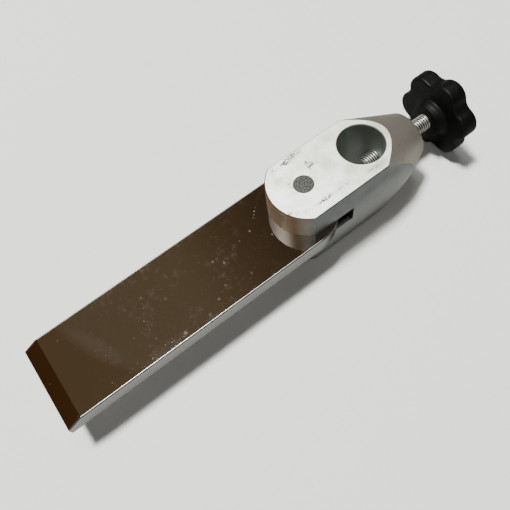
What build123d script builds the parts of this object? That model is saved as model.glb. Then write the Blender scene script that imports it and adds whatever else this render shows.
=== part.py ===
from build123d import *
import os
from math import asin, cos, pi, radians, sin, sqrt, tan

# A tool holder of five pieces. A polished flat bar with a bevelled front end swings in the slot of
# an aluminium fork head, on a pivot pin pressed into the head's two ears. Behind the pivot the head
# is bored for the tool, and its rear is turned to a cone. A star knob drives a threaded stud along
# the cone's axis into the bore, where its tip clamps the tool.
#
# Millimetres. The origin is on the axis of the tool bore at the head's underside.
# +X points along the head towards the star knob, +Z up along the bore.

# Fork head
HEAD_WIDTH = 34.0
HEAD_HEIGHT = 40.0
MID_HEIGHT = HEAD_HEIGHT / 2      # the slot, the bar, the cone and the clamp stud share this plane
HEAD_REAR_X = 31.6
BORE_RADIUS = 11.0
PIVOT_X = -33.4
NOSE_RADIUS = 19.5                # more than half the width, so the arc meets the flanks at a corner
NOSE_REACH = 16.9                 # from the pivot to the nose's tip
SLOT_DEPTH = 15.7                 # from the pivot back to the slot's floor
SLOT_CLEARANCE = 0.1              # above and below the bar
CONE_HALF_ANGLE = 24.5            # degrees
CONE_CROWN_X = 14.2               # where the cone runs out into the flat top and underside
HEAD_EDGE_BREAK = 0.5
BORE_EDGE_BREAK = 0.4
REAR_EDGE_BREAK = 0.6

# Pivot pin
PIN_RADIUS = 4.75
PIN_RUNNING_CLEARANCE = 0.05      # radial, in the bar's eye
PIN_EDGE_BREAK = 0.3

# Flat bar
BAR_WIDTH = 42.0
BAR_THICKNESS = 9.0
BAR_FRONT_X = PIVOT_X - 139.9
BAR_ROUND_CENTRE_X = PIVOT_X - 6.5    # centre of the half-round rear end
BEVEL_LENGTH = 7.6
BEVEL_LAND = 5.0                  # upright face left below the bevel
BAR_EDGE_RADIUS = 0.6

# Clamp stud, M8
STUD_RADIUS = 4.0
STUD_CLEARANCE = 0.05             # radial, in the head's tapped hole and in the knob's socket
STUD_TIP_X = 11.2                 # just inside the bore's rear wall
STUD_TIP_BREAK = 0.8

# Star knob
KNOB_FACE_X = 44.2                # the hub's face, towards the head
HUB_HEIGHT = 4.5
HUB_FACE_RADIUS = 8.5
HUB_ROOT_RADIUS = 11.5
HUB_EDGE_BREAK = 0.6
RIM_THICKNESS = 9.0
RIM_EDGE_BREAK = 1.0
SOCKET_DEPTH = 10.5               # how far the stud runs into the knob
LOBES = 6
LOBE_REACH = 21.2                 # outermost radius of a lobe
LOBE_RADIUS = 7.8
NOTCH_RADIUS = 5.8
LOBE_PHASE = 43.0                 # degrees from +Y towards +Z

BAR_LOW = MID_HEIGHT - BAR_THICKNESS / 2
BAR_HIGH = MID_HEIGHT + BAR_THICKNESS / 2
SCREW_AXIS = Axis((0, 0, MID_HEIGHT), (1, 0, 0))


def upright(x, radius, low, high):
    """A cylinder along Z at the given x, between two heights."""
    return Pos(x, 0, (low + high) / 2) * Cylinder(radius, high - low)


def turned(*profile):
    """Revolve (x, radius) points about the clamp stud's axis."""
    points = [(x, MID_HEIGHT + radius) for x, radius in profile]
    return revolve(make_face(Plane.XZ * Polyline(*points, close=True)), SCREW_AXIS)


def round_ended_bar(centre_x, radius, square_x, width, height):
    """A flat bar from a square end to an arc about centre_x that meets its two sides."""
    half = width / 2
    outwards = 1 if centre_x > square_x else -1
    side_x = centre_x + outwards * sqrt(radius**2 - half**2)
    tip_x = centre_x + outwards * radius
    outline = Polyline((side_x, half), (square_x, half), (square_x, -half), (side_x, -half))
    nose = ThreePointArc((side_x, -half), (tip_x, 0), (side_x, half))
    return extrude(make_face([outline, nose]), height)


def rim_edges(solid):
    """The straight and circular edges of a solid's lowest and highest faces."""
    faces = solid.faces().sort_by(Axis.Z)
    edges = faces[0].edges() + faces[-1].edges()
    return edges.filter_by(lambda edge: edge.geom_type in (GeomType.LINE, GeomType.CIRCLE))


def cone_envelope():
    """What the lathe leaves of the head: all of it in front, then the cone, then the rear face."""
    slope = tan(radians(CONE_HALF_ANGLE))
    front_x = PIVOT_X - HEAD_WIDTH
    start_x = CONE_CROWN_X - MID_HEIGHT / slope
    rear_radius = MID_HEIGHT - slope * (HEAD_REAR_X - CONE_CROWN_X)
    return turned(
        (front_x, 0),
        (front_x, 2 * MID_HEIGHT),
        (start_x, 2 * MID_HEIGHT),
        (HEAD_REAR_X - REAR_EDGE_BREAK, rear_radius + slope * REAR_EDGE_BREAK),
        (HEAD_REAR_X, rear_radius - REAR_EDGE_BREAK),
        (HEAD_REAR_X, 0),
    )


def fork_head():
    """Aluminium bar stock: rounded nose, turned cone, slot, tool bore, pin hole, tapped hole."""
    nose_centre_x = PIVOT_X - NOSE_REACH + NOSE_RADIUS
    stock = round_ended_bar(nose_centre_x, NOSE_RADIUS, HEAD_REAR_X, HEAD_WIDTH, HEAD_HEIGHT)
    head = stock & cone_envelope()
    head = chamfer(rim_edges(head), HEAD_EDGE_BREAK)
    head -= upright(0, BORE_RADIUS, 0, HEAD_HEIGHT)
    mouths = rim_edges(head).filter_by(GeomType.CIRCLE).filter_by(lambda edge: edge.radius == BORE_RADIUS)
    head = chamfer(mouths, BORE_EDGE_BREAK)
    slot_front = PIVOT_X - HEAD_WIDTH
    slot_rear = PIVOT_X + SLOT_DEPTH
    slot = Box(slot_rear - slot_front, 2 * HEAD_WIDTH, BAR_THICKNESS + 2 * SLOT_CLEARANCE)
    head -= Pos((slot_front + slot_rear) / 2, 0, MID_HEIGHT) * slot
    head -= upright(PIVOT_X, PIN_RADIUS, 0, HEAD_HEIGHT)
    tapped = STUD_RADIUS + STUD_CLEARANCE
    return head - turned((0, 0), (0, tapped), (HEAD_REAR_X, tapped), (HEAD_REAR_X, 0))


def pivot_pin():
    """Steel pin, cut off flush with both ears."""
    pin = upright(PIVOT_X, PIN_RADIUS, 0, HEAD_HEIGHT)
    return chamfer(pin.edges().filter_by(GeomType.CIRCLE), PIN_EDGE_BREAK)


def flat_bar():
    """Flat bar: half-round rear end, softened long edges, bevelled front and the pin's eye."""
    bar = round_ended_bar(BAR_ROUND_CENTRE_X, BAR_WIDTH / 2, BAR_FRONT_X, BAR_WIDTH, BAR_THICKNESS)
    long_edges = rim_edges(bar).filter_by(lambda edge: edge.center().X > BAR_FRONT_X)
    bar = Pos(0, 0, BAR_LOW) * fillet(long_edges, BAR_EDGE_RADIUS)
    bevel = Polyline(
        (BAR_FRONT_X, BAR_LOW + BEVEL_LAND),
        (BAR_FRONT_X + BEVEL_LENGTH, BAR_HIGH),
        (BAR_FRONT_X, BAR_HIGH),
        close=True,
    )
    bar -= extrude(make_face(Plane.XZ * bevel), BAR_WIDTH, both=True)
    return bar - upright(PIVOT_X, PIN_RADIUS + PIN_RUNNING_CLEARANCE, BAR_LOW, BAR_HIGH)


def clamp_stud():
    """M8 stud from its chamfered tip beside the tool bore to its root inside the knob."""
    root_x = KNOB_FACE_X + SOCKET_DEPTH
    return turned(
        (STUD_TIP_X, 0),
        (STUD_TIP_X, STUD_RADIUS - STUD_TIP_BREAK),
        (STUD_TIP_X + STUD_TIP_BREAK, STUD_RADIUS),
        (root_x, STUD_RADIUS),
        (root_x, 0),
    )


def star_outline():
    """Lobe arcs and notch arcs about the origin that meet each other tangentially."""
    half_pitch = pi / LOBES
    lobe_centre = LOBE_REACH - LOBE_RADIUS
    centre_gap = LOBE_RADIUS + NOTCH_RADIUS
    beside = lobe_centre * sin(half_pitch)
    notch_centre = lobe_centre * cos(half_pitch) + sqrt(centre_gap**2 - beside**2)
    # the arcs touch on the line from a lobe's centre to its notch's centre
    turn = asin(notch_centre * sin(half_pitch) / centre_gap)
    touch_x = lobe_centre + LOBE_RADIUS * cos(turn)
    touch_y = LOBE_RADIUS * sin(turn)
    arcs = []
    for lobe in range(LOBES):
        middle = LOBE_PHASE + 360 * lobe / LOBES
        start = Vector(touch_x, -touch_y).rotate(Axis.Z, middle)
        tip = Vector(LOBE_REACH, 0).rotate(Axis.Z, middle)
        end = Vector(touch_x, touch_y).rotate(Axis.Z, middle)
        root = Vector(notch_centre - NOTCH_RADIUS, 0).rotate(Axis.Z, middle + 180 / LOBES)
        following = start.rotate(Axis.Z, 360 / LOBES)
        arcs += [ThreePointArc(start, tip, end), ThreePointArc(end, root, following)]
    return make_face(arcs)


def star_knob():
    """Moulded star knob: short flared hub, and a rim of rounded lobes with both edges broken."""
    rim_x = KNOB_FACE_X + HUB_HEIGHT
    facing = Plane(origin=(rim_x, 0, MID_HEIGHT), x_dir=(0, 1, 0), z_dir=(1, 0, 0))
    star = extrude(facing * star_outline(), RIM_THICKNESS)
    flats = star.faces().sort_by(Axis.X)
    star = chamfer(flats[0].edges() + flats[-1].edges(), RIM_EDGE_BREAK)
    star += turned(
        (KNOB_FACE_X, 0),
        (KNOB_FACE_X, HUB_FACE_RADIUS - HUB_EDGE_BREAK),
        (KNOB_FACE_X + HUB_EDGE_BREAK, HUB_FACE_RADIUS),
        (rim_x, HUB_ROOT_RADIUS),
        (rim_x, 0),
    )
    socket = STUD_RADIUS + STUD_CLEARANCE
    root_x = KNOB_FACE_X + SOCKET_DEPTH
    return star - turned((KNOB_FACE_X, 0), (KNOB_FACE_X, socket), (root_x, socket), (root_x, 0))


os.makedirs("parts", exist_ok=True)
for piece in (fork_head, pivot_pin, flat_bar, clamp_stud, star_knob):
    solid = piece()
    export_step(solid, f"parts/{piece.__name__}.step")
    print(piece.__name__, round(solid.volume), "mm3")
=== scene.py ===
# %% [markdown]
# # A turning tool holder
#
# The holder is a polished steel bar that swings in an aluminium fork head. A star knob on a
# threaded stud clamps a tool in the head's bore. The solids come ready made, in metres, in one
# frame: the origin is on the bore's axis at the head's underside, +X points to the knob and +Z up
# the bore. This lesson gives them their finishes, and makes anew the two pieces that plain solids
# can't show: the stud's thread and the soft edges of the moulded knob.

# %% Load the solids
from math import asin, cos, pi, radians, sin, sqrt, tan

import bmesh
import bpy
import numpy as np
from mathutils import Matrix, Vector


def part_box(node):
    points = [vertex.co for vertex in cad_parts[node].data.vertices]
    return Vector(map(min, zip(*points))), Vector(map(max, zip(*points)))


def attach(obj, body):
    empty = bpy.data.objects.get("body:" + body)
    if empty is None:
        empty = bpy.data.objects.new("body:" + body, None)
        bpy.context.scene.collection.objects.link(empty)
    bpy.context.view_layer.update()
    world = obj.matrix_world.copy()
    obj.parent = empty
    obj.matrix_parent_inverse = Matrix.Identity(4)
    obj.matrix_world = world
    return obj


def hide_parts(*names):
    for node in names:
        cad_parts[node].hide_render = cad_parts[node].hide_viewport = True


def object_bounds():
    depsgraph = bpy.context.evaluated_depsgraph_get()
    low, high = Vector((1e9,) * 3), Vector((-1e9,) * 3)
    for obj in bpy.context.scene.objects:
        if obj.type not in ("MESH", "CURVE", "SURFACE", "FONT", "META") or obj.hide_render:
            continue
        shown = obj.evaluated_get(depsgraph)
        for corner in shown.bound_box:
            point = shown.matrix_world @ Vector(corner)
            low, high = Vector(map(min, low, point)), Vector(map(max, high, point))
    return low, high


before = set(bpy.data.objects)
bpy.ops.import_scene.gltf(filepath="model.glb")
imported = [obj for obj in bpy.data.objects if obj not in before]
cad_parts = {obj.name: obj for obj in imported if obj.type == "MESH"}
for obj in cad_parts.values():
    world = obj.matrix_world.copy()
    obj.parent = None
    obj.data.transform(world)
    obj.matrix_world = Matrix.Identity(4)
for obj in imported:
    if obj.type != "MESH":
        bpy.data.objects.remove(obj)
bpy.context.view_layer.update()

MM = 0.001

# %% [markdown]
# ## Four small tools
#
# Colours are written as the hex codes that a paint program shows, so one function turns them into
# the linear values that a shader counts in. Shader trees are built by hand from many nodes, so one
# function adds a node, sets what it is told and draws its links. The other two start a material
# and give a finished one to a solid.

# %% Colours
def linear(code):
    """The sRGB curve undone: c / 12.92 in the darkest part, else ((c + 0.055) / 1.055) to the 2.4."""
    shown = [int(code[at:at + 2], 16) / 255 for at in (1, 3, 5)]
    return (*(c / 12.92 if c <= 0.04045 else ((c + 0.055) / 1.055) ** 2.4 for c in shown), 1.0)


print("#808080 is", round(linear("#808080")[0], 3), "of full light")

# %% Nodes
def add(tree, kind, inputs=None, **settings):
    """Add one node with its settings. inputs gives each socket a number, a colour as a hex code,
    or the node or output that feeds it. Sockets that the settings leave unused are passed over."""
    node = tree.nodes.new("ShaderNode" + kind)
    for name, value in settings.items():
        setattr(node, name, value)
    in_use = {socket.name: socket for socket in reversed(node.inputs) if socket.enabled}
    for name, value in (inputs or {}).items():
        socket = in_use[name] if isinstance(name, str) else node.inputs[name]
        if isinstance(value, bpy.types.Node):
            value = next(output for output in value.outputs if output.enabled)
        if isinstance(value, bpy.types.NodeSocket):
            tree.links.new(value, socket)
        else:
            socket.default_value = linear(value) if isinstance(value, str) else value
    return node


# %% Materials
def material(name):
    """An empty material: its tree, and the surface point in millimetres from Object coordinates."""
    made = bpy.data.materials.new(name)
    made.use_nodes = True
    tree = made.node_tree
    tree.nodes.clear()
    place = add(tree, "TexCoord").outputs["Object"]
    point = add(tree, "VectorMath", {0: place, "Scale": 1 / MM}, operation="SCALE")
    return made, tree, point


def finish_with(node, made):
    """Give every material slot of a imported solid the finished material."""
    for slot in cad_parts[node].material_slots:
        slot.material = made
    print(node, "is finished in", made.name)


# %% [markdown]
# ## Marks
#
# Scuffs, rub marks and stains sit where hands and tools have touched the metal. Each is an oval
# with a soft rim: a Mapping node moves the oval's centre to the origin, turns it and divides by its
# reach, so the distance from the centre is 1 at the rim, whatever the oval's size.

# %% One soft oval
OVAL_CORE = 0.2          # share of the reach inside which a mark has its full strength
THROUGH = 1000.0         # reach in Z: far past the piece, so that height doesn't count


def oval(tree, point, centre, reach, turn=0.0):
    """1 at the centre and 0 at the rim of an ellipse with the given half axes in mm, in X and Y."""
    inside = add(tree, "Mapping", {
        "Vector": point,
        "Location": (*centre, 0.0),
        "Rotation": (0.0, 0.0, radians(turn)),
        "Scale": (*reach, THROUGH),
    }, vector_type="TEXTURE")
    distance = add(tree, "VectorMath", {0: inside}, operation="LENGTH")
    return add(tree, "MapRange", {
        "Value": distance, "From Min": 1.0, "From Max": OVAL_CORE, "To Min": 0.0, "To Max": 1.0,
    }, interpolation_type="SMOOTHSTEP")


# %% [markdown]
# ## Matte aluminium
#
# The head is cut from bar stock. Its flat faces are sanded dull, so they scatter light and look
# nearly white under a lamp, while the turned cone keeps the fine rings of the lathe and looks
# darker. The bore is left as drilled. One material does all of it, because every point knows where
# it is. Each face gets a mask, a number that is 1 on the face and 0 elsewhere. The first mask reads
# the height: only the flat top and underside lie this far from the middle.

# %% Mask of the flat faces
head_low, head_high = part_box("fork_head")
MID = (head_low.z + head_high.z) / 2 / MM          # the knob's axis runs halfway up the head
HALF_HEIGHT = (head_high.z - head_low.z) / 2 / MM
HALF_WIDTH = head_high.y / MM

aluminium, tree, point = material("sanded_and_turned_aluminium")
axes = add(tree, "SeparateXYZ", {0: point})
lift = add(tree, "Math", {0: axes.outputs["Z"], 1: MID}, operation="SUBTRACT")
rise = add(tree, "Math", {0: lift}, operation="ABSOLUTE")
flat_face = add(tree, "MapRange", {
    "Value": rise, "From Min": HALF_HEIGHT - 0.08, "From Max": HALF_HEIGHT - 0.02,
})
print("head", round(2 * HALF_WIDTH, 1), "mm wide and", round(2 * HALF_HEIGHT, 1), "mm high")

# %% [markdown]
# The cone is where the distance from the knob's axis equals the cone's own radius at that X, which
# falls in a straight line from the crown. The line is a Map Range that isn't clamped. Two places
# on it are enough to fix it, and here they are 20 mm apart.

# %% Mask of the cone
CONE_SLOPE = tan(radians(24.5))
CONE_CROWN_X = 14.2      # where the cone runs out into the flat faces
CONE_SPAN = 20.0
across = add(tree, "CombineXYZ", {"X": axes.outputs["Y"], "Y": lift})
from_screw = add(tree, "VectorMath", {0: across}, operation="LENGTH")
cone_radius = add(tree, "MapRange", {
    "Value": axes.outputs["X"],
    "From Min": CONE_CROWN_X, "From Max": CONE_CROWN_X + CONE_SPAN,
    "To Min": HALF_HEIGHT, "To Max": HALF_HEIGHT - CONE_SPAN * CONE_SLOPE,
}, clamp=False)
off_cone = add(tree, "Math", {0: from_screw, 1: cone_radius}, operation="SUBTRACT")
off_cone = add(tree, "Math", {0: off_cone}, operation="ABSOLUTE")
cone_face = add(tree, "MapRange", {"Value": off_cone, "From Min": 0.12, "From Max": 0.04})
print("cone falls", round(CONE_SPAN * CONE_SLOPE, 2), "mm in", CONE_SPAN, "mm")

# %% Masks of the bore and the flanks
BORE_RADIUS = 11.0
flat_point = add(tree, "CombineXYZ", {"X": axes.outputs["X"], "Y": axes.outputs["Y"]})
from_bore = add(tree, "VectorMath", {0: flat_point}, operation="LENGTH")
bore_wall = add(tree, "MapRange", {
    "Value": from_bore, "From Min": BORE_RADIUS + 0.1, "From Max": BORE_RADIUS + 0.03,
})
side = add(tree, "Math", {0: axes.outputs["Y"]}, operation="ABSOLUTE")
flank = add(tree, "MapRange", {
    "Value": side, "From Min": HALF_WIDTH - 0.3, "From Max": HALF_WIDTH - 0.1,
})
print("bore", 2 * BORE_RADIUS, "mm across")

# %% [markdown]
# These ramps paint light and shade into the colours. Towards its tip the nose is tinted brown, a
# painted reflection of the brown that the polished bar mirrors; the cone's side towards +Y is painted
# darker, as shade; and the lower half of each flank is painted lighter, as light. These are ramps along
# one axis, from the place where the change starts to where it is complete.

# %% Ramps along the head
NOSE_RAMP = (-40.0, -47.5)
FAR_SIDE_RAMP = (-8.0, 14.0)
LOW_RAMP = (30.0, 6.0)
ramps = []
for axis, (start, end) in (("X", NOSE_RAMP), ("Y", FAR_SIDE_RAMP), ("Z", LOW_RAMP)):
    ramps.append(add(tree, "MapRange", {
        "Value": axes.outputs[axis], "From Min": start, "From Max": end,
    }))
nose_painted_reflection, cone_painted_shade, flank_painted_light = ramps
print("ramps across the head:", len(ramps))

# %% [markdown]
# The slot that takes the bar is never cleaned, so grease has gathered in it and dulls its metal. Its
# colour carries painted shade: it is only pale for the first two millimetres from the opening, and it
# is painted black deeper in and in the corner at the slot's end.

# %% Mask of the slot and of the shade painted in it
SLOT_HALF = 4.6
SLOT_END_X = -17.6
slot_low = add(tree, "Math", {0: rise, 1: SLOT_HALF + 0.02}, operation="LESS_THAN")
slot_front = add(tree, "Math", {0: axes.outputs["X"], 1: SLOT_END_X}, operation="LESS_THAN")
in_slot = add(tree, "Math", {0: slot_low, 1: slot_front}, operation="MULTIPLY")
deep_in = add(tree, "MapRange", {
    "Value": side, "From Min": HALF_WIDTH - 0.5, "From Max": HALF_WIDTH - 2.2,
})
slot_end = add(tree, "MapRange", {
    "Value": axes.outputs["X"], "From Min": SLOT_END_X - 2.4, "From Max": SLOT_END_X - 0.6,
})
slot_painted_shade = add(tree, "Math", {0: deep_in, 1: slot_end}, operation="MAXIMUM")
print("slot", 2 * SLOT_HALF, "mm high, ends at", SLOT_END_X, "mm")

# %% [markdown]
# The sanded faces aren't even. Broad blotches a few millimetres across come from handling, a fine
# speckle is the sanding itself, and the darker scuffs are grime rubbed into the edges and round the
# pin. Multiplying a soft oval by a hard-edged noise breaks it into flecks. A noise's scale is one
# over the size of its grains. Real sanding scratches are a tenth of a millimetre wide, too fine to
# show, so the speckle is drawn several times as coarse.

# %% Blotches, speckle and flecks
BLOTCH, SPECKLE, FLECK = 6.25, 0.6667, 1.25        # grain sizes in mm
blotches = add(tree, "TexNoise", {
    "Vector": point, "Scale": 1 / BLOTCH, "Detail": 3.0, "Roughness": 0.6,
})
patchy = add(tree, "MapRange", {"Value": blotches, "From Min": 0.35, "From Max": 0.65})
speckle = add(tree, "TexNoise", {
    "Vector": point, "Scale": 1 / SPECKLE, "Detail": 2.0, "Roughness": 0.6,
})
coarse = add(tree, "TexNoise", {
    "Vector": point, "Scale": 1 / FLECK, "Detail": 4.0, "Roughness": 0.7,
})
flecks = add(tree, "MapRange", {"Value": coarse, "From Min": 0.47, "From Max": 0.56})
print("blotches", BLOTCH, "mm, flecks", FLECK, "mm, speckle", SPECKLE, "mm")

# %% Where the marks are
SCUFFS = (                     # grime: centre, half axes, turn in degrees and strength
    ((-32.6, 14.1), (3.6, 1.5), 4.0, 2.4),
    ((-29.0, 15.0), (7.5, 1.8), 3.0, 1.3),
    ((-39.5, 13.9), (3.0, 1.6), 25.0, 0.8),
    ((-25.8, 7.4), (2.6, 0.9), 62.0, 2.2),
    ((-24.6, 6.0), (4.0, 3.6), 0.0, 0.9),
    ((-31.2, -12.1), (5.0, 1.0), 0.0, 2.4),
    ((-22.8, -11.9), (1.6, 0.7), 0.0, 1.4),
    ((-18.6, -12.2), (1.2, 0.7), 0.0, 1.5),
    ((-30.0, -11.8), (13.0, 1.3), 0.0, 0.6),
    ((-41.0, -11.6), (2.0, 0.8), 0.0, 1.1),
    ((-47.2, -7.6), (1.5, 1.2), 40.0, 1.5),
    ((-45.0, -9.6), (1.6, 1.0), 40.0, 0.9),
    ((-38.4, 3.2), (1.6, 4.0), 10.0, 0.5),
    ((-4.0, -13.8), (9.0, 1.8), 0.0, 0.5),
)
RUBS = (                       # wear, in the same order
    ((-41.0, 8.2), (5.0, 3.4), 10.0, 0.55),
    ((-11.5, -7.0), (6.5, 4.5), 25.0, 0.55),
    ((-19.0, 0.5), (5.0, 6.5), 0.0, 0.35),
    ((-29.0, 14.0), (8.0, 2.6), 3.0, 0.50),
    ((-8.0, 13.0), (6.0, 3.5), 0.0, 0.30),
    ((-2.0, -13.5), (9.0, 3.4), 0.0, 0.60),
    ((13.5, 0.0), (5.0, 12.0), 0.0, 0.65),
)
EVERYWHERE = 0.05              # a little grime lies all over the head


def patches(tree, marks):
    """All the marks of one kind: the sum of their ovals, each times its own strength."""
    total = 0.0
    for centre, reach, turn, strength in marks:
        one = oval(tree, flat_point, centre, reach, turn)
        total = add(tree, "Math", {0: one, 1: strength, 2: total}, operation="MULTIPLY_ADD")
    return add(tree, "Math", {0: total, 1: flat_face}, operation="MULTIPLY")


broken = add(tree, "Math", {0: patches(tree, SCUFFS), 1: EVERYWHERE}, operation="ADD")
grime = add(tree, "Math", {0: broken, 1: flecks}, operation="MULTIPLY", use_clamp=True)
rubbed = patches(tree, RUBS)
print("marks on the head:", len(SCUFFS), "scuffs and", len(RUBS), "rubs")

# %% [markdown]
# A lathe tool leaves rings that follow its feed, so on the cone the noise may change only along X:
# all the other coordinates are thrown away before it is read. A saw and a sander leave lines along
# the stock, so on the flanks the noise is stretched in X instead, to a twentieth of its changes.
# The real rings are 0.2 mm apart. They are drawn coarser, as they wouldn't show.

# %% Lathe rings and sanding lines
RING, LINE = 0.9091, 0.5556    # grain sizes in mm
along = add(tree, "CombineXYZ", {"X": axes.outputs["X"]})
rings = add(tree, "TexNoise", {
    "Vector": along, "Scale": 1 / RING, "Detail": 5.0, "Roughness": 0.75,
})
stretched = add(tree, "VectorMath", {0: point, 1: (0.05, 1.0, 1.0)}, operation="MULTIPLY")
lines = add(tree, "TexNoise", {
    "Vector": stretched, "Scale": 1 / LINE, "Detail": 4.0, "Roughness": 0.7,
})
grain = add(tree, "Mix", {"Factor": cone_face, "A": lines, "B": rings})
grain = add(tree, "Mix", {"Factor": flat_face, "A": grain, "B": speckle})
print("rings", RING, "mm and lines", LINE, "mm wide")

# %% [markdown]
# Each face has a colour of its own, and a mask lays it over what is there already, as paint over
# paint. The order counts: the grime lies over the flat faces, and the bore and the slot come last
# because they cut through everything.

# %% Colours of the head
LAYERS = {
    "flank": (
        "#8A8E8E", (patchy, "#989C9B"),
        (flank_painted_light, "#DADDDA"),             # painted lighter low down: painted light
        (nose_painted_reflection, "#786243"),          # nose tip tinted brown: a painted reflection
    ),
    # the cone's side towards +Y is painted darker: painted shade
    "cone": ("#BCB9B0", (rings, "#D0CDC3"), (cone_painted_shade, "#8C8A81")),
    "flat": ("#E2E7D9", (patchy, "#FDFFF6"), (rubbed, "#C6C7A9")),
    # the slot is painted black deeper in and at its end: painted shade
    "slot": ("#A4A6A2", (slot_painted_shade, "#1E1E1B")),
}
face_colour = {}
for face, (colour, *layers) in LAYERS.items():
    for mask, over in layers:
        colour = add(tree, "Mix", {"Factor": mask, "A": colour, "B": over}, data_type="RGBA")
    face_colour[face] = colour

colour = face_colour["flank"]
for mask, over in (
    (cone_face, face_colour["cone"]),
    (flat_face, face_colour["flat"]),
    (grime, "#33332C"),
    (bore_wall, "#A2A8A2"),
    (in_slot, face_colour["slot"]),
):
    colour = add(tree, "Mix", {"Factor": mask, "A": colour, "B": over}, data_type="RGBA")
print("faces with a colour of their own:", sorted(face_colour))

# %% [markdown]
# Roughness says how wide a metal spreads a reflection. All of the head is dull, and the nose, which
# was sanded across its curve, is a little duller than the rest. Grime and grease aren't metal, so
# they lower the metallic value and scatter light evenly instead.

# %% Finish of the head
GRIME_DULLS, SLOT_DULLS = 0.7, 0.9         # share of the metal's mirror that is lost
beside_nose = flat_face
for mask in (cone_face, bore_wall, flank):
    beside_nose = add(tree, "Math", {0: beside_nose, 1: mask}, operation="MAXIMUM")
dull = add(tree, "MapRange", {
    "Value": grain, "From Min": 0.3, "From Max": 0.7, "To Min": 0.46, "To Max": 0.60,
})
duller = add(tree, "MapRange", {
    "Value": grain, "From Min": 0.3, "From Max": 0.7, "To Min": 0.50, "To Max": 0.60,
})
rough = add(tree, "Mix", {"Factor": beside_nose, "A": duller, "B": dull})
metal = add(tree, "Math", {0: grime, 1: -GRIME_DULLS, 2: 1.0}, operation="MULTIPLY_ADD")
metal = add(tree, "Math", {
    0: in_slot, 1: -SLOT_DULLS, 2: metal,
}, operation="MULTIPLY_ADD", use_clamp=True)
relief = add(tree, "Bump", {"Height": grain, "Strength": 0.35, "Distance": 0.02 * MM})
shader = add(tree, "BsdfPrincipled", {
    "Base Color": colour, "Metallic": metal, "Roughness": rough, "Normal": relief,
})
add(tree, "OutputMaterial", {"Surface": shader})
finish_with("fork_head", aluminium)

# %% [markdown]
# ## Sawn steel
#
# The pivot pin was cut off and filed flush with the head, so its end is a coarse grey disc that
# scatters light in all directions. One noise drives its colour, its roughness and its relief
# together, as real pits are dark and dull at once. The marks of a saw are a few tenths of a
# millimetre wide, and these are drawn up to twice as wide.

# %% The pin
PIT = 0.6667                   # size of the saw marks in mm
steel_end, tree, point = material("sawn_and_filed_steel")
pits = add(tree, "TexNoise", {
    "Vector": point, "Scale": 1 / PIT, "Detail": 4.0, "Roughness": 0.75,
})
height = add(tree, "MapRange", {"Value": pits, "From Min": 0.40, "From Max": 0.60})
colour = add(tree, "Mix", {"Factor": height, "A": "#262724", "B": "#60615D"}, data_type="RGBA")
rough = add(tree, "MapRange", {"Value": height, "To Min": 0.62, "To Max": 0.45})
relief = add(tree, "Bump", {"Height": height, "Strength": 0.5, "Distance": 0.06 * MM})
shader = add(tree, "BsdfPrincipled", {
    "Base Color": colour, "Metallic": 1.0, "Roughness": rough, "Normal": relief,
})
add(tree, "OutputMaterial", {"Surface": shader})
finish_with("pivot_pin", steel_end)

# %% [markdown]
# ## Mirror-polished steel
#
# A mirror has no colour of its own to show: it shows the room. What tells the eye that this is
# steel and not glass is the dirt on it. Dust lies thickest along the edges, in a few drifts, and
# nowhere near the front, which has been wiped. All of this needs the distance to the bar's edge.
# The rear end is a half circle, so there the distance is taken from the circle's centre, and
# holding the way back at 0 before that place makes one formula do for both.

# %% How far from the bar's middle a point is
bar_low, bar_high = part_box("flat_bar")
BAR_HALF = bar_high.y / MM
ROUND_CENTRE_X = -39.9         # the rear end is a half circle about this place
polished, tree, point = material("mirror_polished_steel")
axes = add(tree, "SeparateXYZ", {0: point})
rearward = add(tree, "Math", {0: axes.outputs["X"], 1: ROUND_CENTRE_X}, operation="SUBTRACT")
rearward = add(tree, "Math", {0: rearward, 1: 0.0}, operation="MAXIMUM")
from_middle = add(tree, "CombineXYZ", {"X": rearward, "Y": axes.outputs["Y"]})
side = add(tree, "VectorMath", {0: from_middle}, operation="LENGTH")
print("bar", round(2 * BAR_HALF, 1), "mm wide")

# %% Where the dust lies
DRIFT = 14.29                  # size of the drifts in mm
WIPED_X, DUSTY_X = -156.0, -128.0
near_edge = add(tree, "MapRange", {
    "Value": side, "From Min": BAR_HALF - 6.0, "From Max": BAR_HALF - 1.0,
})
drift = add(tree, "TexNoise", {
    "Vector": point, "Scale": 1 / DRIFT, "Detail": 2.0, "Roughness": 0.6,
})
drift = add(tree, "MapRange", {"Value": drift, "From Min": 0.48, "From Max": 0.68})
dusty = add(tree, "Math", {0: near_edge, 1: 0.7, 2: drift}, operation="MULTIPLY_ADD")
share = add(tree, "MapRange", {"Value": dusty, "To Min": 0.07, "To Max": 0.60})
unwiped = add(tree, "MapRange", {
    "Value": axes.outputs["X"], "From Min": WIPED_X, "From Max": DUSTY_X, "To Min": 0.08,
})
share = add(tree, "Math", {0: share, 1: unwiped}, operation="MULTIPLY")
print("wiped in front of", WIPED_X, "mm, fully dusty behind", DUSTY_X, "mm")

# %% [markdown]
# Each speck is the middle of a Voronoi cell. A cell also has a random colour, whose three channels
# serve as lots. A cell keeps its speck where the first lot is below the local share of dust, the
# second lot says how large the speck is, and the third how thick. The coordinates are shaken a
# little by a noise first, so that the specks come out ragged and not round.

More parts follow.
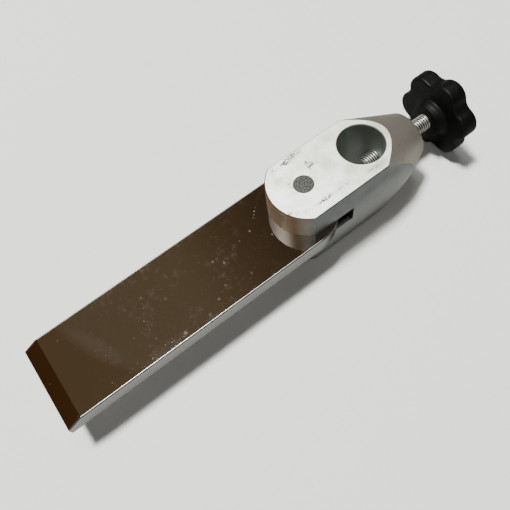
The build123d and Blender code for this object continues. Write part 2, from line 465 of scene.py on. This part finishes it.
# %% Specks
SPECK_GAP, SHAKE_SIZE, SHAKE = 0.9091, 0.3333, 0.6     # mm
shaken = add(tree, "TexNoise", {"Vector": point, "Scale": 1 / SHAKE_SIZE, "Detail": 1.0})
ragged = add(tree, "VectorMath", {
    0: shaken.outputs["Color"], 1: (SHAKE, SHAKE, SHAKE), 2: point,
}, operation="MULTIPLY_ADD")
cells = add(tree, "TexVoronoi", {"Vector": ragged, "Scale": 1 / SPECK_GAP, "Randomness": 1.0})
lot = add(tree, "SeparateColor", {0: cells.outputs["Color"]})
kept = add(tree, "Math", {0: lot.outputs["Red"], 1: share}, operation="LESS_THAN")
size = add(tree, "MapRange", {"Value": lot.outputs["Green"], "To Min": 0.08, "To Max": 0.32})
speck = add(tree, "Math", {0: cells.outputs["Distance"], 1: size}, operation="LESS_THAN")
dust = add(tree, "Math", {0: speck, 1: kept}, operation="MULTIPLY")
thick = add(tree, "MapRange", {"Value": lot.outputs["Blue"], "To Min": 0.01, "To Max": 0.10})
dust = add(tree, "Math", {0: dust, 1: thick}, operation="MULTIPLY")
print("a cell of dust every", SPECK_GAP, "mm")

# %% Drops of dried polish
DROPS = (                      # x, y, reach and strength
    (-52.4, 12.8, 0.40, 0.10),
    (-53.9, 11.4, 0.45, 0.24),
    (-55.1, 10.0, 0.40, 0.18),
    (-56.4, 8.9, 0.45, 0.14),
    (-61.8, 4.4, 0.8, 0.12),
    (-84.0, 2.4, 0.9, 0.08),
    (-80.2, -1.2, 0.7, 0.10),
    (-68.4, 3.2, 0.6, 0.08),
    (-54.8, -3.6, 0.8, 0.10),
    (-119.0, 8.2, 1.0, 0.04),
    (-92.0, -14.0, 0.9, 0.07),
    (-99.0, -17.5, 1.2, 0.04),
    (-112.0, -17.6, 1.4, 0.04),
    (-86.0, -10.5, 0.8, 0.06),
    (-73.5, -13.0, 0.9, 0.05),
    (-110.5, 1.0, 1.2, 0.03),
)
for x, y, reach, strength in DROPS:
    drop = oval(tree, ragged, (x, y), (reach, reach))
    dust = add(tree, "Math", {
        0: drop, 1: strength, 2: dust,
    }, operation="MULTIPLY_ADD", use_clamp=True)
print("drops of dried polish on the bar:", len(DROPS))

# %% [markdown]
# The front of the bar has been wiped clean; behind it lies a thin film of oil that greys the mirror.
# The film begins along a slanting line, and along that line a paler band is painted, a painted
# reflection of a lighter band seen in the mirror. The place across that line is a dot product with the
# line's normal. The film fades out again towards the head, and where dust is thick there are smudges
# too. All of these are weak: a hundredth part of dull surface is enough to grey a mirror that shows a
# dark room.

# %% Film of oil
STROKE_NORMAL = (0.907, 0.420, 0.0)
STROKE_MIDDLE, STROKE_REACH, STROKE_TURN = (-147.0, 2.0), (26.0, 5.0), -65.0
SMUDGE = 2.857                 # size in mm
across_stroke = add(tree, "VectorMath", {0: point, 1: STROKE_NORMAL}, operation="DOT_PRODUCT")
filmed = add(tree, "MapRange", {"Value": across_stroke, "From Min": -134.5, "From Max": -129.5})
towards_head = add(tree, "MapRange", {
    "Value": axes.outputs["X"], "From Min": -105.0, "From Max": -70.0,
})
filmed = add(tree, "Math", {0: filmed, 1: towards_head}, operation="SUBTRACT", use_clamp=True)
# a paler band along the film's start line: a painted reflection
painted_reflection_band = oval(tree, point, STROKE_MIDDLE, STROKE_REACH, STROKE_TURN)
smudges = add(tree, "TexNoise", {
    "Vector": point, "Scale": 1 / SMUDGE, "Detail": 5.0, "Roughness": 0.75,
})
smudges = add(tree, "MapRange", {"Value": smudges, "From Min": 0.52, "From Max": 0.72})
smudges = add(tree, "Math", {0: smudges, 1: share}, operation="MULTIPLY")
film = 0.0
for mask, strength in ((painted_reflection_band, 0.014), (filmed, 0.010), (smudges, 0.10)):
    film = add(tree, "Math", {0: mask, 1: strength, 2: film}, operation="MULTIPLY_ADD")
print("the wiped front ends about", round(-134.5 / STROKE_NORMAL[0]), "mm along X")

# %% [markdown]
# The narrow sides are only ground, with lines along the bar. Between them and the polished faces runs a
# rounded edge 0.6 mm wide. The polishing wheel has blurred it, so it spreads the lamp's light into one
# thin bright line along the whole bar. Below that line a fine black line is painted, a painted
# reflection of the dark surroundings in the lower part of the rounded edge. Both are found by the
# distance from the bar's middle.

# %% Ground sides and rounded edges
GROUND_LINE = 0.4              # width of the grinding lines in mm, drawn wider than they are
EDGE = 0.6                     # radius of the rounded edges in mm
ground = add(tree, "MapRange", {
    "Value": side, "From Min": BAR_HALF - EDGE - 0.01, "From Max": BAR_HALF - EDGE + 0.03,
})
rounding = add(tree, "MapRange", {
    "Value": side, "From Min": BAR_HALF - 0.03, "From Max": BAR_HALF - 0.10,
})
rounding = add(tree, "Math", {0: rounding, 1: ground}, operation="MULTIPLY")
# a thin black line just below the bright one: a painted reflection
painted_dark_reflection = add(tree, "MapRange", {
    "Value": side, "From Min": BAR_HALF - 0.48, "From Max": BAR_HALF - 0.36,
})
painted_dark_reflection = add(tree, "Math", {0: painted_dark_reflection, 1: rounding}, operation="MULTIPLY")
stretched = add(tree, "VectorMath", {0: point, 1: (0.03, 1.0, 1.0)}, operation="MULTIPLY")
lines = add(tree, "TexNoise", {
    "Vector": stretched, "Scale": 1 / GROUND_LINE, "Detail": 4.0, "Roughness": 0.7,
})
print("edges rounded", EDGE, "mm, grinding lines", GROUND_LINE, "mm wide")

# %% Roughness and colour of the bar
BLURRED, DUSTY = 0.45, 0.8
polish = add(tree, "MapRange", {"Value": drift, "To Min": 0.02, "To Max": 0.03})
grinding = add(tree, "MapRange", {
    "Value": lines, "From Min": 0.3, "From Max": 0.7, "To Min": 0.16, "To Max": 0.34,
})
rough = polish
for mask, over in ((ground, grinding), (rounding, BLURRED), (dust, DUSTY)):
    rough = add(tree, "Mix", {"Factor": mask, "A": rough, "B": over})
colour = "#C5C2BD"
for mask, over in ((ground, "#B0B0AE"), (painted_dark_reflection, "#1E1D1B"), (dust, "#D8D4C8")):
    colour = add(tree, "Mix", {"Factor": mask, "A": colour, "B": over}, data_type="RGBA")
print("rounded edges blurred to a roughness of", BLURRED)

# %% The bar
veiled = add(tree, "Math", {0: dust, 1: film}, operation="ADD", use_clamp=True)
metal = add(tree, "Math", {0: 1.0, 1: veiled}, operation="SUBTRACT")
lines = add(tree, "Math", {0: lines, 1: ground}, operation="MULTIPLY")
relief = add(tree, "Bump", {"Height": lines, "Strength": 0.3, "Distance": 0.01 * MM})
shader = add(tree, "BsdfPrincipled", {
    "Base Color": colour, "Metallic": metal, "Roughness": rough, "Normal": relief,
})
add(tree, "OutputMaterial", {"Surface": shader})
finish_with("flat_bar", polished)

# %% [markdown]
# ## Surfaces from numbers
#
# Both new pieces are skins given by two numbers: how far along the piece a point is, and how far
# round it. numpy works out the whole grid of points at once. The grid closes on itself all round;
# on a thread, one turn ends a pitch further on, so the last column joins the first one some rows
# higher up. That number of rows is called the climb.

# %% From a grid of points to a mesh
DOUBLED = 1e-7                 # metres: points closer than this are one point


def skin(name, points, climb=0, sharp=35.0):
    """A closed mesh from rows x columns x 3 points in mm. A quad's corners are (row, column), the
    next column, the next row of both, and this column's next row. Past the last column comes the
    first, climb rows on. Doubled points are merged, and edges bent by over sharp degrees stay crisp."""
    rows, columns = points.shape[:2]
    row, column = np.mgrid[0:rows - 1, 0:columns]
    following = (column + 1) % columns
    jump = np.where(column + 1 == columns, climb, 0)
    whole = (row + jump + 1) < rows
    corners = np.stack([
        row * columns + column,
        (row + jump) * columns + following,
        (row + jump + 1) * columns + following,
        (row + 1) * columns + column,
    ], axis=-1)[whole]
    mesh = bpy.data.meshes.new(name)
    mesh.from_pydata((points.reshape(-1, 3) * MM).tolist(), [], corners.tolist())
    work = bmesh.new()
    work.from_mesh(mesh)
    bmesh.ops.remove_doubles(work, verts=work.verts, dist=DOUBLED)
    bmesh.ops.recalc_face_normals(work, faces=work.faces)
    open_edges = sum(not edge.is_manifold for edge in work.edges)
    work.to_mesh(mesh)
    work.free()
    mesh.polygons.foreach_set("use_smooth", np.ones(len(mesh.polygons), bool))
    mesh.set_sharp_from_angle(angle=radians(sharp))
    piece = bpy.data.objects.new(name, mesh)
    bpy.context.scene.collection.objects.link(piece)
    print(name, "has", len(mesh.polygons), "faces and", open_edges, "open edges")
    return piece


# %% Round the knob's axis
def turned_by(along, out, angle):
    """Points round the knob's axis: x is the place along it, y is out times the cosine of the
    angle, and z is the axis's height plus out times its sine."""
    along, out, angle = np.broadcast_arrays(along, out, angle)
    return np.stack([along, out * np.cos(angle), MID + out * np.sin(angle)], axis=-1)


# %% [markdown]
# ## The threaded stud
#
# An M8 thread is a ridge with 60 degree flanks that climbs 1.25 mm a turn, and by the standard it
# is 0.6134 of its pitch deep. The skin follows the ridge itself, so that its crest and root are
# lines of the grid and stay crisp with few faces.

# %% Profile of the thread
PITCH = 1.25
STUD_RADIUS = 4.0
THREAD_DEPTH = 0.6134 * PITCH


def thread_radius(phase):
    """The crest's radius less half the depth times one minus the cosine of the phase, in turns. The
    wave has a rolled thread's round crest and root, and flanks that lean at about 60 degrees."""
    return STUD_RADIUS - THREAD_DEPTH * (1 - np.cos(2 * pi * phase)) / 2


print("thread", round(THREAD_DEPTH, 2), "mm deep, core", round(thread_radius(0.5), 2), "mm")

# %% [markdown]
# Where the place along the stud runs off an end, it is held at the end and the radius shrinks to
# nothing, which closes the stud with a flat face. Near an end the radius can't be more than the
# tip's own plus the way from the end, which gives the stud a chamfer of 45 degrees.

# %% The stud
TIP_X, ROOT_X = 3.1, 54.4
TIP_RADIUS = 3.1
ROWS_A_TURN, ROUND = 16, 48
CLOSING = 0.4                  # part of a pitch in which an end closes

turns = int((ROOT_X - TIP_X) / PITCH) + 4      # about two spare turns at each end
phase = np.arange(turns * ROWS_A_TURN)[:, None] / ROWS_A_TURN
share_of_turn = np.arange(ROUND)[None, :] / ROUND
raw_x = TIP_X + (phase + share_of_turn - 2) * PITCH
held_x = np.clip(raw_x, TIP_X, ROOT_X)
from_end = np.minimum(held_x - TIP_X, ROOT_X - held_x)
past_end = np.maximum(TIP_X - raw_x, raw_x - ROOT_X)
closing = np.clip(1.0 - past_end / (CLOSING * PITCH), 0.0, 1.0)
radius = np.minimum(thread_radius(phase), TIP_RADIUS + from_end)
radius = radius * np.where(past_end > 0, closing, 1.0)
helix = turned_by(held_x, radius, 2 * pi * share_of_turn)
stud = skin("threaded_stud", helix, climb=ROWS_A_TURN, sharp=50.0)

# %% [markdown]
# Bright zinc plate on steel is a pale mirror, a little dulled, so each crest catches the lamp as a thin
# bright line. Its colour also paints light and shade: the crests are painted near white as a painted
# highlight, and the roots are painted dark as painted shade. The distance from the axis tells crest
# from root, except on the tip's end face, which is bright all over and so is added by its place.

# %% Zinc plate
CREST_STARTS, CREST_FULL = 0.80, 0.25      # depths below the crest, as shares of the thread's
zinc, tree, point = material("bright_zinc_plated_steel")
axes = add(tree, "SeparateXYZ", {0: point})
lift = add(tree, "Math", {0: axes.outputs["Z"], 1: MID}, operation="SUBTRACT")
across = add(tree, "CombineXYZ", {"X": axes.outputs["Y"], "Y": lift})
out = add(tree, "VectorMath", {0: across}, operation="LENGTH")
crest = add(tree, "MapRange", {
    "Value": out,
    "From Min": STUD_RADIUS - CREST_STARTS * THREAD_DEPTH,
    "From Max": STUD_RADIUS - CREST_FULL * THREAD_DEPTH,
})
end_face = add(tree, "MapRange", {
    "Value": axes.outputs["X"], "From Min": TIP_X + 0.9, "From Max": TIP_X + 0.7,
})
crest = add(tree, "Math", {0: crest, 1: end_face}, operation="MAXIMUM")
print("the plate is bright from", round(STUD_RADIUS - CREST_FULL * THREAD_DEPTH, 2), "mm outwards")
# painted highlight on the crests, near white, and painted shade in the roots, dark
colour = add(tree, "Mix", {"Factor": crest, "A": "#33342F", "B": "#F6F6F0"}, data_type="RGBA")
rough = add(tree, "MapRange", {"Value": crest, "To Min": 0.45, "To Max": 0.38})
shader = add(tree, "BsdfPrincipled", {"Base Color": colour, "Metallic": 1.0, "Roughness": rough})
add(tree, "OutputMaterial", {"Surface": shader})
stud.data.materials.append(zinc)
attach(stud, "clamp")
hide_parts("clamp_stud")

# %% [markdown]
# ## The star knob
#
# The rim's outline is six lobe arcs joined by six notch arcs that touch them without a corner. A
# moulded knob has no sharp edges: the outline shrinks by a little more at each step as the skin
# rolls over the edge. Shrinking such an outline by an inset makes each lobe's arc smaller and each
# notch's arc larger about the same centres, so every inset outline is still exact.

# %% The star outline at any inset
LOBES = 6
LOBE_REACH, LOBE_RADIUS, NOTCH_RADIUS = 21.2, 7.8, 5.8
LOBE_PHASE = radians(43.0)
lobe_centre = LOBE_REACH - LOBE_RADIUS
centre_gap = LOBE_RADIUS + NOTCH_RADIUS
half_pitch = pi / LOBES
beside = lobe_centre * sin(half_pitch)     # from a lobe's centre to the line of its notch
notch_centre = lobe_centre * cos(half_pitch) + sqrt(centre_gap**2 - beside**2)
touch_turn = asin(notch_centre * sin(half_pitch) / centre_gap)
print("notch circles lie", round(notch_centre, 2), "mm from the axis")


def star_radius(angle, inset):
    """Where a ray from the axis leaves the lobe's circle, or enters the notch's circle, whichever
    the ray meets: centre distance times cosine, plus or minus the root of radius squared less
    centre distance times sine, squared."""
    turn = np.abs((angle - LOBE_PHASE + half_pitch) % (2 * half_pitch) - half_pitch)
    lobe = LOBE_RADIUS - inset
    notch = NOTCH_RADIUS + inset
    touch = np.arctan2(lobe * sin(touch_turn), lobe_centre + lobe * cos(touch_turn))
    beside_lobe = np.maximum(lobe**2 - (lobe_centre * np.sin(turn))**2, 0)
    on_lobe = lobe_centre * np.cos(turn) + np.sqrt(beside_lobe)
    rest = half_pitch - turn
    beside_notch = np.maximum(notch**2 - (notch_centre * np.sin(rest))**2, 0)
    on_notch = notch_centre * np.cos(rest) - np.sqrt(beside_notch)
    return np.where(turn <= touch, on_lobe, on_notch)


# %% [markdown]
# The knob's skin starts at the bottom of the socket that holds the stud, comes out over the hub,
# spreads to the rim, rolls round its two edges and closes on the outer face. Each row of the grid
# has a place along the axis, a round radius, an inset, and a share that says how much of the row
# is star and how much is circle.

# %% Socket and hub
knob_low, knob_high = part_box("star_knob")
FACE_X, BACK_X = knob_low.x / MM, knob_high.x / MM
HUB_HEIGHT, HUB_RADIUS, HUB_ROOT = 4.5, 8.5, 11.5
HUB_ROLL, FLARE = 0.8, 1.5     # the hub's rounded rim, and how far it spreads on the way back
RIM_X = FACE_X + HUB_HEIGHT
SOCKET_RADIUS, SOCKET_X = 4.05, FACE_X + 10.5
roll = np.linspace(0, pi / 2, 9)               # a quarter turn over an edge
down = np.linspace(0.1, 1, 10)                 # the way down the hub's side
side_run = HUB_HEIGHT - 2 * HUB_ROLL

rows = [(SOCKET_X, 0, 0, 0), (SOCKET_X, SOCKET_RADIUS, 0, 0), (FACE_X, SOCKET_RADIUS, 0, 0)]
rows += [(FACE_X + HUB_ROLL * (1 - cos(t)), HUB_RADIUS - HUB_ROLL * (1 - sin(t)), 0, 0) for t in roll]
rows += [(FACE_X + HUB_ROLL + side_run * t, HUB_RADIUS + FLARE * t**2, 0, 0) for t in down]
rows += [(RIM_X - HUB_ROLL * (1 - sin(t)), HUB_ROOT - FLARE * cos(t), 0, 0) for t in roll[1:]]
print("hub rows:", len(rows))

# %% Rim and outer face
FRONT_ROLL, BACK_ROLL = 1.3, 1.6
SPREAD_RADIUS, BACK_FLAT = 12.5, 10.0          # circles from which the star grows
GROWING = (0.05, 0.35, 0.7)
SHRINKING = (0.7, 0.35, 0.0)

rows += [(RIM_X, SPREAD_RADIUS, FRONT_ROLL, star) for star in GROWING]
rows += [(RIM_X + FRONT_ROLL * (1 - cos(t)), 0, FRONT_ROLL * (1 - sin(t)), 1) for t in roll]
rows += [(BACK_X - BACK_ROLL * (1 - cos(t)), 0, BACK_ROLL * (1 - sin(t)), 1) for t in roll[::-1]]
rows += [(BACK_X, BACK_FLAT, BACK_ROLL, star) for star in SHRINKING]
rows += [(BACK_X, 0, 0, 0)]
print("rows in all:", len(rows))

# %% The knob
AROUND = 288                   # points round the axis
place, plain, inset, starry = np.array(rows, float).T[:, :, None]
angle = 2 * pi * np.arange(AROUND)[None, :] / AROUND
out = plain + starry * (star_radius(angle, inset) - plain)
knob = skin("moulded_star_knob", turned_by(place, out, angle))

# %% [markdown]
# Black phenolic plastic comes out of a polished mould with a satin skin. It is nearly black, so
# what the eye reads is the soft highlight along each rolled edge, a little broken up by handling.
# Phenolic's refractive index is 1.5 or a little more. Oil from the hands fills the skin and weakens
# the highlight, hence the low specular level.

# %% Black plastic
WEAR, SKIN_GRAIN = 4.0, 0.3333                 # sizes in mm
plastic, tree, point = material("satin_black_plastic")
wear = add(tree, "TexNoise", {
    "Vector": point, "Scale": 1 / WEAR, "Detail": 4.0, "Roughness": 0.65,
})
grain = add(tree, "TexNoise", {"Vector": point, "Scale": 1 / SKIN_GRAIN, "Detail": 2.0})
colour = add(tree, "Mix", {"Factor": wear, "A": "#050505", "B": "#0B0C0B"}, data_type="RGBA")
rough = add(tree, "MapRange", {
    "Value": wear, "From Min": 0.3, "From Max": 0.7, "To Min": 0.42, "To Max": 0.6,
})
relief = add(tree, "Bump", {"Height": grain, "Strength": 0.15, "Distance": 0.03 * MM})
shader = add(tree, "BsdfPrincipled", {
    "Base Color": colour, "Roughness": rough, "Normal": relief,
    "IOR": 1.5, "Specular IOR Level": 0.15,
})
add(tree, "OutputMaterial", {"Surface": shader})
knob.data.materials.append(plastic)
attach(knob, "knob")
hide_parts("star_knob")

# %% [markdown]
# ## The studio
#
# The floor is a round pale sheet that fades out at its rim, and behind it the backdrop has the
# same pale tone, so no horizon shows. It lies at the lowest point of the holder, which is a lobe
# of the knob.

# %% Floor
FLOOR_RADIUS = 0.7             # metres
CORNERS = 96
floor_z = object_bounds()[0].z
turn = 2 * pi * np.arange(CORNERS) / CORNERS
rim = FLOOR_RADIUS * np.stack([np.cos(turn), np.sin(turn), np.zeros(CORNERS)], axis=-1)
rim[:, 2] = floor_z
floor_mesh = bpy.data.meshes.new("floor")
floor_mesh.from_pydata(rim.tolist(), [], [list(range(CORNERS))])
floor = bpy.data.objects.new("floor", floor_mesh)
bpy.context.scene.collection.objects.link(floor)
print("floor at", round(floor_z / MM, 2), "mm")

# %% [markdown]
# Matte paper scatters light evenly, so its shader is the plain diffuse one. The head's dull sides
# would fill with the glare of so much pale paper, so rays that come from a reflection meet a darker
# tone, as if the paper ended just outside the picture.

# %% Paper
FADE_STARTS, FADE_ENDS = 0.5, 0.95             # shares of the floor's radius
paper, tree, point = material("pale_matte_paper")
from_middle = add(tree, "VectorMath", {0: point}, operation="LENGTH")
shown = add(tree, "MapRange", {
    "Value": from_middle,
    "From Min": FADE_ENDS * FLOOR_RADIUS / MM, "From Max": FADE_STARTS * FLOOR_RADIUS / MM,
}, interpolation_type="SMOOTHSTEP")
in_metal = add(tree, "LightPath").outputs["Is Glossy Ray"]
tone = add(tree, "Mix", {"Factor": in_metal, "A": "#EFEFEC", "B": "#979794"}, data_type="RGBA")
sheet = add(tree, "BsdfDiffuse", {"Color": tone})
clear = add(tree, "BsdfTransparent")
faded = add(tree, "MixShader", {0: shown, 1: clear, 2: sheet})
add(tree, "OutputMaterial", {"Surface": faded})
floor_mesh.materials.append(paper)
print("the paper fades from", FADE_STARTS * FLOOR_RADIUS, "m to", FADE_ENDS * FLOOR_RADIUS, "m")

# %% [markdown]
# The polished bar is a mirror, and a pale room would turn it white. A studio hangs dark brown
# cloth where such a mirror looks. Here the sky does it: it is brown for reflections only, lighter
# higher up and darker towards +X, where the head's end of the bar looks. The camera sees it pale,
# and as a source of soft light it is weak, so that the lamps' shadows stay deep.

# %% Sky
CAMERA_GLOW, SOFT_GLOW, MIRROR_GLOW = 2.2, 0.06, 1.0
world = bpy.data.worlds.new("studio")
world.use_nodes = True
bpy.context.scene.world = world
tree = world.node_tree
tree.nodes.clear()
heading = add(tree, "SeparateXYZ", {0: add(tree, "TexCoord").outputs["Generated"]})
height = add(tree, "MapRange", {"Value": heading.outputs["Z"], "From Min": 0.3, "From Max": 0.8})
beyond = add(tree, "MapRange", {"Value": heading.outputs["X"], "From Min": 0.08, "From Max": 0.26})
cloth = add(tree, "Mix", {"Factor": height, "A": "#4A3019", "B": "#66543B"}, data_type="RGBA")
cloth = add(tree, "Mix", {"Factor": beyond, "A": cloth, "B": "#49392A"}, data_type="RGBA")
rays = add(tree, "LightPath")
seen = add(tree, "Mix", {
    "Factor": rays.outputs["Is Glossy Ray"], "A": "#F2F2F0", "B": cloth,
}, data_type="RGBA")
strength = SOFT_GLOW
for ray, glow in (("Is Camera Ray", CAMERA_GLOW), ("Is Glossy Ray", MIRROR_GLOW)):
    strength = add(tree, "Mix", {"Factor": rays.outputs[ray], "A": strength, "B": glow})
backdrop = add(tree, "Background", {"Color": seen, "Strength": strength})
add(tree, "OutputWorld", {"Surface": backdrop})
print("world", world.name, "has", len(tree.nodes), "nodes")

# %% [markdown]
# The key lamp hangs almost overhead, so the shadow stays close to the holder. It may not hang where
# the bar mirrors it into the camera, which would burn out the bar's top. A weak lamp in front opens
# the shadows on the nose, and a long strip beside the key, along the bar, draws the bright lines on
# its rounded edge and on the thread.

# %% Lamps
def lamp(name, place, target, size, power):
    """A soft light of the given length and width at a place, in metres, turned to its target."""
    light = bpy.data.lights.new(name, "AREA")
    light.shape = "RECTANGLE"
    light.size, light.size_y = size
    light.energy = power
    holder = bpy.data.objects.new(name, light)
    holder.location = place
    holder.rotation_euler = (Vector(target) - Vector(place)).to_track_quat("-Z", "Y").to_euler()
    bpy.context.scene.collection.objects.link(holder)
    print(name, "gives", power, "W")


lamp("key_lamp", (-0.25, 0.44, 1.96), (-0.05, 0.0, 0.02), (0.32, 0.32), 76.0)
lamp("front_lamp", (-0.75, -0.62, 1.40), (0.0, 0.0, 0.02), (0.15, 0.15), 2.5)
lamp("edge_strip", (0.17, 0.44, 1.96), (0.17, 0.0, 0.02), (1.05, 0.06), 9.0)

# %% [markdown]
# ## The camera
#
# The camera looks down on the holder from beside the bar's front end, rolled so that the bar runs
# up to the right. Its place, the direction it looks in and the direction of the picture's right
# side fix it. Two cross products make the three axes of its frame square to each other.

# %% Camera
EYE = Vector((-113.917, -102.981, 241.370)) * MM
FORWARD = Vector((0.192413, 0.396187, -0.897782))
RIGHT = Vector((0.797469, -0.596271, -0.092218))
back = -FORWARD.normalized()
up = back.cross(RIGHT).normalized()
right = up.cross(back)
camera = bpy.data.objects.new("camera", bpy.data.cameras.new("camera"))
camera.data.lens = 38.0
camera.data.sensor_width = 36.0
camera.data.clip_start = 0.01      # the camera stands close, so the nearest visible point is too
camera.matrix_world = Matrix.Translation(EYE) @ Matrix((right, up, back)).transposed().to_4x4()
bpy.context.scene.collection.objects.link(camera)
bpy.context.scene.camera = camera
print("camera", round(EYE.length, 3), "m from the bore")
